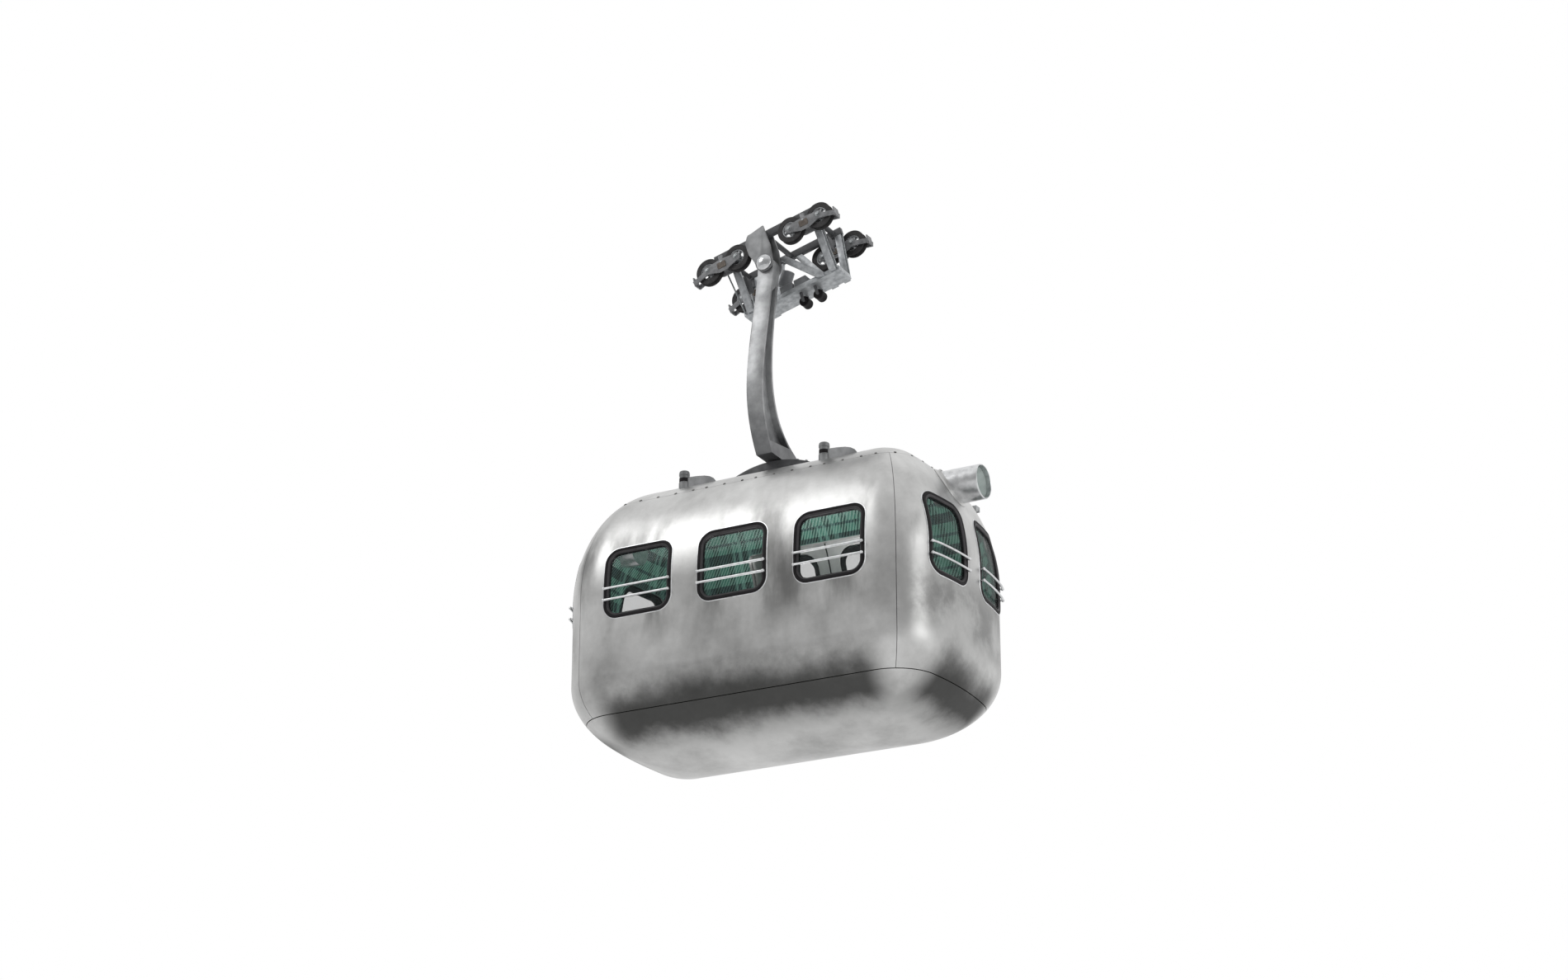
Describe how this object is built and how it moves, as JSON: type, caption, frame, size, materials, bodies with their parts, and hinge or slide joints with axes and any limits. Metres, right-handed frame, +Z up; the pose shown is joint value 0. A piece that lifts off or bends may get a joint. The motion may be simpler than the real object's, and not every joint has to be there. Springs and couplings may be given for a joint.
{
  "type": "cable car cabin",
  "caption": "Rounded aerial ropeway cabin with plaid lining, hung by a curved arm from a wheeled carriage that runs on twin track ropes.",
  "frame": {"origin": "midway between the two track ropes, at the middle of the carriage", "axes": "+X uphill along the line of travel, +Y to the door side, +Z up"},
  "size_m": [3.74, 1.904, 4.8553],
  "materials": {
    "shell_aluminium": "brushed, with cloudy patina",
    "floor_rubber": "studded",
    "lining_fabric": "woven plaid",
    "window_rubber": "matte",
    "window_glass": "clear",
    "bright_metal": "polished",
    "lamp_glass": "clear, ribbed",
    "grey_steel": "satin grey",
    "cast_aluminium": "satin cast",
    "dark_steel": "dark satin",
    "pale_aluminium": "satin",
    "wheel_metal": "machined hub, dark tread",
    "roller_rubber": "matte"
  },
  "bodies": {
    "carriage": {"pivot_pin": "bright_metal", "head_plate": "cast_aluminium", "side_beams": "dark_steel", "cross_tubes": "dark_steel", "carriage_posts": "pale_aluminium", "carriage_braces": "pale_aluminium", "service_tray": "pale_aluminium", "control_boxes": "grey_steel", "drive_motor": "grey_steel", "brake_units": "dark_steel", "tie_rods": "bright_metal", "roller_brackets": "dark_steel", "bogie_near_front": "grey_steel", "bogie_near_rear": "grey_steel", "bogie_far_front": "grey_steel", "bogie_far_rear": "grey_steel"},
    "cabin": {"roof_shell": "shell_aluminium", "near_wall": "shell_aluminium", "far_wall": "shell_aluminium", "front_end": "shell_aluminium", "rear_end": "shell_aluminium", "lower_hull": "shell_aluminium", "floor_deck": "floor_rubber", "wall_lining": "lining_fabric", "ceiling_lining": "lining_fabric", "window_frames": "window_rubber", "window_glass": "window_glass", "side_guard_bars": "bright_metal", "end_guard_bars": "bright_metal", "lamp_housings": "bright_metal", "lamp_lenses": "lamp_glass", "roof_posts": "grey_steel", "door_rails": "grey_steel", "hanger_arm": "cast_aluminium", "hanger_foot": "dark_steel"},
    "door_front": {"door_leaf_front": "shell_aluminium", "door_glass_front": "window_glass"},
    "door_rear": {"door_leaf_rear": "shell_aluminium", "door_glass_rear": "window_glass"},
    "wheel_1": {"wheel_1": "wheel_metal"},
    "wheel_2": {"wheel_2": "wheel_metal"},
    "wheel_3": {"wheel_3": "wheel_metal"},
    "wheel_4": {"wheel_4": "wheel_metal"},
    "wheel_5": {"wheel_5": "wheel_metal"},
    "wheel_6": {"wheel_6": "wheel_metal"},
    "wheel_7": {"wheel_7": "wheel_metal"},
    "wheel_8": {"wheel_8": "wheel_metal"},
    "guide_roller_front": {"guide_roller_front": "roller_rubber"},
    "guide_roller_rear": {"guide_roller_rear": "roller_rubber"}
  },
  "joints": [
    {"name": "hanger_swing", "type": "hinge", "parent": "carriage", "child": "cabin", "pos_m": [0, -0.287, -0.105], "axis": [0, 1, 0], "range_deg": [-35, 35]},
    {"name": "door_slide_front", "type": "slide", "parent": "cabin", "child": "door_front", "axis": [1, 0, 0], "range_m": [0, 0.7]},
    {"name": "door_slide_rear", "type": "slide", "parent": "cabin", "child": "door_rear", "axis": [1, 0, 0], "range_m": [-0.7, 0]},
    {"name": "wheel_1_spin", "type": "hinge", "parent": "carriage", "child": "wheel_1", "pos_m": [-0.57308, -0.315, -0.05003], "axis": [0, 1, 0], "continuous": true},
    {"name": "wheel_2_spin", "type": "hinge", "parent": "carriage", "child": "wheel_2", "pos_m": [-0.29006, -0.315, 0.02581], "axis": [0, 1, 0], "continuous": true},
    {"name": "wheel_3_spin", "type": "hinge", "parent": "carriage", "child": "wheel_3", "pos_m": [0.2383, -0.315, 0.16738], "axis": [0, 1, 0], "continuous": true},
    {"name": "wheel_4_spin", "type": "hinge", "parent": "carriage", "child": "wheel_4", "pos_m": [0.52131, -0.315, 0.24321], "axis": [0, 1, 0], "continuous": true},
    {"name": "wheel_5_spin", "type": "hinge", "parent": "carriage", "child": "wheel_5", "pos_m": [-0.57308, 0.315, -0.05003], "axis": [0, 1, 0], "continuous": true},
    {"name": "wheel_6_spin", "type": "hinge", "parent": "carriage", "child": "wheel_6", "pos_m": [-0.29006, 0.315, 0.02581], "axis": [0, 1, 0], "continuous": true},
    {"name": "wheel_7_spin", "type": "hinge", "parent": "carriage", "child": "wheel_7", "pos_m": [0.2383, 0.315, 0.16738], "axis": [0, 1, 0], "continuous": true},
    {"name": "wheel_8_spin", "type": "hinge", "parent": "carriage", "child": "wheel_8", "pos_m": [0.52131, 0.315, 0.24321], "axis": [0, 1, 0], "continuous": true},
    {"name": "guide_roller_front_spin", "type": "hinge", "parent": "carriage", "child": "guide_roller_front", "pos_m": [0.35296, 0, -0.34749], "axis": [0, 1, 0], "continuous": true},
    {"name": "guide_roller_rear_spin", "type": "hinge", "parent": "carriage", "child": "guide_roller_rear", "pos_m": [0.21387, 0, -0.38476], "axis": [0, 1, 0], "continuous": true}
  ],
  "couplings": [
    {"joint": "door_slide_rear", "follows": "door_slide_front", "ratio": -1}
  ]
}
